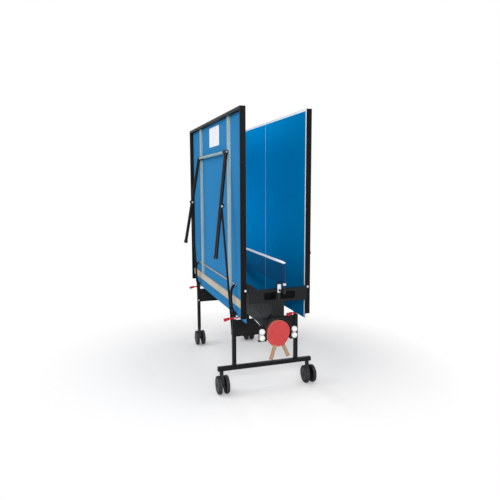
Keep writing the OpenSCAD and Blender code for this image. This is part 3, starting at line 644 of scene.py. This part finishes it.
for name in TILTS:
    lo, hi = (Vector(c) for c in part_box(f"{name}_racket_blade"))
    r, extra = 0.076, 0.024
    tilt = math.radians(TILTS[name])
    centre_x = (mid("low_left_ball").x + mid("low_right_ball").x) / 2
    centre = Vector((centre_x, (lo.y + hi.y) / 2, hi.z - r - extra / 2 * math.cos(tilt)))
    place = Matrix.Translation(centre) @ Matrix.Rotation(tilt, 4, "Y")
    body = f"{name}_racket"
    wood_half, rubber_t = 0.003, 0.002

    blade = Shape()
    plate(blade, outline(r - 0.0003, extra, 0.0845), -wood_half, wood_half, 0.0006)
    throat = [(-0.027, -0.078), (-0.019, -0.086), (-0.0130, -0.093), (-0.0115, -0.100)]
    plate(blade, throat + [(-x, z) for x, z in throat[::-1]], -wood_half + 0.0001, wood_half - 0.0001, 0.0006)
    blade = blade.turned(place).build(f"{name}_blade_ply", PLY, body, "racket_wood")

    grip = Shape()
    rings = []
    for d, w, t in GRIP:
        ring = []
        for k in range(28):
            a = 2 * math.pi * (k + 0.5) / 28
            ca, sa = math.cos(a), math.sin(a)
            squared = 0.55
            ring.append((w * math.copysign(abs(ca) ** squared, ca),
                         t * math.copysign(abs(sa) ** squared, sa), -d))
        rings.append(ring)
    grip.loft(rings)
    grip.turned(place).build(f"{name}_handle", HANDLE, body, "racket_wood", smooth=True)

    inlay = Shape()
    for sgn in (-1, 1):
        inlay.box((-0.0015, sgn * 0.0087 - 0.0004, -0.170), (0.0015, sgn * 0.0087 + 0.0004, -0.103), 0.0002)
    inlay.turned(place).build(f"{name}_handle_inlay", PLY, body, "racket_wood")

    for sgn, skin in ((-1, RUBBER_RED), (1, RUBBER_BLACK)):
        word = "red" if sgn < 0 else "black"
        foam, top = Shape(), Shape()
        cut = outline(r - 0.0012, extra, 0.0815)
        a, b, c = sgn * wood_half, sgn * (wood_half + 0.0011), sgn * (wood_half + rubber_t)
        plate(foam, cut, min(a, b), max(a, b), 0.0001)
        plate(top, cut, min(b, c), max(b, c), 0.0003)
        foam.turned(place).build(f"{name}_sponge_{word}", SPONGE, body, "racket_rubber")
        sheet = top.turned(place).build(f"{name}_rubber_{word}", skin, body, "racket_rubber")
        if sgn < 0:
            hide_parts(f"{name}_racket_rubbers")
    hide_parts(f"{name}_racket_blade")

# ---------------------------------------------------------------- casters

spokes = 10
stem_length, boss_r = 0.007, 0.0142
for c in CORNERS:
    lo, hi = (Vector(v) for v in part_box(f"{c}_wheels"))
    centre = (lo + hi) / 2
    r = (hi.z - lo.z) / 2
    caps, hood = Shape(), Shape()
    for sgn, x in ((-1, lo.x), (1, hi.x)):
        def at(d):
            return Vector((x - sgn * d, centre.y, centre.z))
        # ribbed hub disc in the wheel's dish, and a domed cap
        caps.lathe([(0.0001, 0.0), (0.0105, 0.0), (0.0125, 0.0006), (0.0135, 0.0022)],
                   at(0.0004), (-sgn, 0, 0), 28)
        caps.lathe([(r * 0.735, 0.0), (r * 0.75, 0.0), (r * 0.755, 0.0016), (r * 0.73, 0.0028),
                    (r * 0.715, 0.0026)], at(0.0002), (-sgn, 0, 0), 56)
        for k in range(spokes):
            a = 2 * math.pi * k / spokes
            s = Shape()
            s.box((-0.0011, -0.0015, 0.0150), (0.0011, 0.0015, r * 0.72), 0.0005)
            turn = Matrix.Translation(at(0.0019)) @ Matrix.Rotation(a, 4, "X")
            s.turned(turn)
            caps.add(s.v, s.f)
    caps.build(f"{c}_hub_discs", HUB, f"{c}_wheels", "wheel_black")

    lo, hi = (Vector(v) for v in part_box(f"{c}_fork"))
    swivel = (centre.x, hi.y - boss_r, hi.z - stem_length - 0.0136)
    hood.lathe([(0.0095, 0.0), (0.0122, 0.0), (0.0128, 0.0008), (0.0128, 0.0024), (0.0122, 0.0030),
                (0.0095, 0.0030)], swivel, (0, 0, 1), 36)
    hood.build(f"{c}_swivel_ring", ZINC, f"{c}_swivel", "black_plastic", smooth=False)

# ---------------------------------------------------------------- small fittings

bolts, welds, screws = Shape(), Shape(), Shape()
bolt_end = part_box("frame_bolts")[1][1]
rod_lo, rod_hi = (Vector(c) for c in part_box("pivot_rods"))
pivot = Vector((rod_hi.x - (rod_hi.z - rod_lo.z) / 2, 0, (rod_lo.z + rod_hi.z) / 2))
for sx in (-1, 1):
    for sy in (-1, 1):
        # domed cap nuts on the fold bolts
        y = sy * (bolt_end - 0.0002)
        bolts.lathe([(0.0062, -0.0004), (0.0060, 0.0010), (0.0049, 0.0022), (0.0028, 0.0030),
                     (0.0005, 0.0033)], (sx * pivot.x, y, pivot.z), (0, sy, 0), 24)
bolts.build("fold_bolt_caps", WHITE, "carriage", "bolt_steel", smooth=True)

# weld beads round the near uprights' feet
upright_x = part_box("uprights")[1][0] - TUBE_HALF
base_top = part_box("near_base_tube")[1][2]
for sx in (-1, 1):
    x, y, z = sx * upright_x, -FRAME_Y, base_top
    ring = []
    for k in range(64):
        a = 2 * math.pi * k / 64
        ca, sa = math.cos(a), math.sin(a)
        m = max(abs(ca), abs(sa))
        wob = 0.0004 * math.sin(17 * a)
        reach = (TUBE_HALF + 0.0006) / m
        ring.append((x + ca * reach, y + sa * reach, z + 0.0010 + wob))
    welds.tube(ring + ring[:1], 0.0022, 6)
welds.build("base_welds", BLACK, "carriage", "frame_black", smooth=True)

# pressed creases in the beam's sides
creases = Shape()
lo, hi = (Vector(c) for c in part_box("centre_beam"))
for sx in (-1, 1):
    for sy in (-1, 1):
        line = ((0.36, lo.z + 0.106), (0.45, lo.z + 0.085), (hi.y - 0.006, lo.z + 0.066))
        creases.tube([(sx * (hi.x + 0.0002), sy * y, z) for y, z in line], 0.0016, 8)
creases.build("beam_creases", GREY, "carriage", "plate_grey", smooth=True)

sheet_half = 0.0015
for node, sy in (("near_panel", -1), ("far_panel", 1)):
    lo, hi = (Vector(c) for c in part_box(node))
    low_screw = 0.410 if node == "near_panel" else lo.z + 0.03
    y = sy * (FRAME_Y + sheet_half)
    for sx in (-1, 1):
        for z in (low_screw, hi.z - 0.022):
            screws.lathe([(0.0048, -0.0002), (0.0048, 0.0010), (0.0036, 0.0022), (0.0008, 0.0026)],
                         (sx * (hi.x - 0.012), y, z), (0, sy, 0), 6, 0.3)
screws.build("panel_screws", BLACK, "carriage", "bolt_steel")

RIVET = [(0.0042, -0.0001), (0.0038, 0.0006), (0.0020, 0.0011), (0.0004, 0.0012)]
for side, sx in (("left", -1), ("right", 1)):
    # rivets along the channels
    rivets = Shape()
    lo, hi = (Vector(c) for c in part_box(f"{side}_channels"))
    x = lo.x if side == "left" else hi.x
    places = [(sy * CHANNEL_Y, z) for sy in (-1, 1) for z in (0.70, 0.90, 1.10, 1.30, 1.50, 1.70, 1.85)]
    places += [(sy * y, lo.z + CROSS_WIDTH / 2) for sy in (-1, 1) for y in (0.70, 0.56, 0.28, 0.10)]
    for y, z in places:
        rivets.lathe(RIVET, (x, y, z), (sx, 0, 0), 16)
    rivets.build(f"{side}_rivets", ZINC, f"{side}_half", "bolt_steel", smooth=True)

# ---------------------------------------------------------------- floor, light and camera

floor = made("floor", [(-9, -9, 0), (9, -9, 0), (9, 9, 0), (-9, 9, 0)], [[0, 1, 2, 3]], None)
paper = Paint("floor_paper", srgb(208, 208, 208), 0.75, spec=0.2)
glow = paper.node("ShaderNodeEmission")
glow.inputs["Color"].default_value = (1, 1, 1, 1)
glow.inputs["Strength"].default_value = 1.0
blend = paper.node("ShaderNodeMixShader")
x, y, _ = paper.xyz()
away = paper.math("SQRT", paper.math("ADD", paper.math("POWER", x, 2.0), paper.math("POWER", y, 2.0)))
paper.link(paper.ramp(paper.math("DIVIDE", away, 4.0), [(0.2, 0.0), (0.42, 1.0)]), blend.inputs["Fac"])
paper.link(paper.b.outputs[0], blend.inputs[1])
paper.link(glow.outputs[0], blend.inputs[2])
paper.link(blend.outputs[0], paper.t.nodes["Material Output"].inputs["Surface"])
floor.data.materials.clear()
floor.data.materials.append(paper.m)

world = bpy.data.worlds.new("studio")
world.use_nodes = True
world.node_tree.nodes["Background"].inputs["Color"].default_value = (1, 1, 1, 1)
world.node_tree.nodes["Background"].inputs["Strength"].default_value = 1.0
scene.world = world
scene.view_settings.view_transform = "Standard"


def lamp(name, at, to, size, power, spread=180):
    d = bpy.data.lights.new(name, "AREA")
    d.shape, d.size, d.energy, d.spread = "DISK", size, power, math.radians(spread)
    o = bpy.data.objects.new(name, d)
    o.location = at
    o.rotation_euler = (Vector(to) - Vector(at)).to_track_quat("-Z", "Y").to_euler()
    o.visible_camera = False
    o.visible_glossy = spread == 180
    scene.collection.objects.link(o)


lamp("front", (-1.6, -5.6, 2.6), (0, 0, 1.1), 1.8, 320)
lamp("side", (-4.5, 1.0, 3.4), (0, 0, 1.0), 2.4, 85)
lamp("far", (-0.35, 3.2, 1.1), (0.2, 0.1, 1.05), 0.6, 11, 36)

data = bpy.data.cameras.new("view")
data.sensor_width, data.lens, data.clip_end = 36.0, 35.85, 60.0
camera = bpy.data.objects.new("view", data)
yaw, pitch, roll = (math.radians(a) for a in (18.318, 7.328, -0.239))
ahead = Vector((math.sin(yaw) * math.cos(pitch), math.cos(yaw) * math.cos(pitch), -math.sin(pitch)))
right = Vector((math.cos(yaw), -math.sin(yaw), 0))
up = right.cross(ahead)
right, up = right * math.cos(roll) + up * math.sin(roll), up * math.cos(roll) - right * math.sin(roll)
turn = Matrix((right, up, -ahead)).transposed().to_4x4()
camera.matrix_world = Matrix.Translation((-1.1684, -3.7485, 1.4133)) @ turn
scene.collection.objects.link(camera)
scene.camera = camera
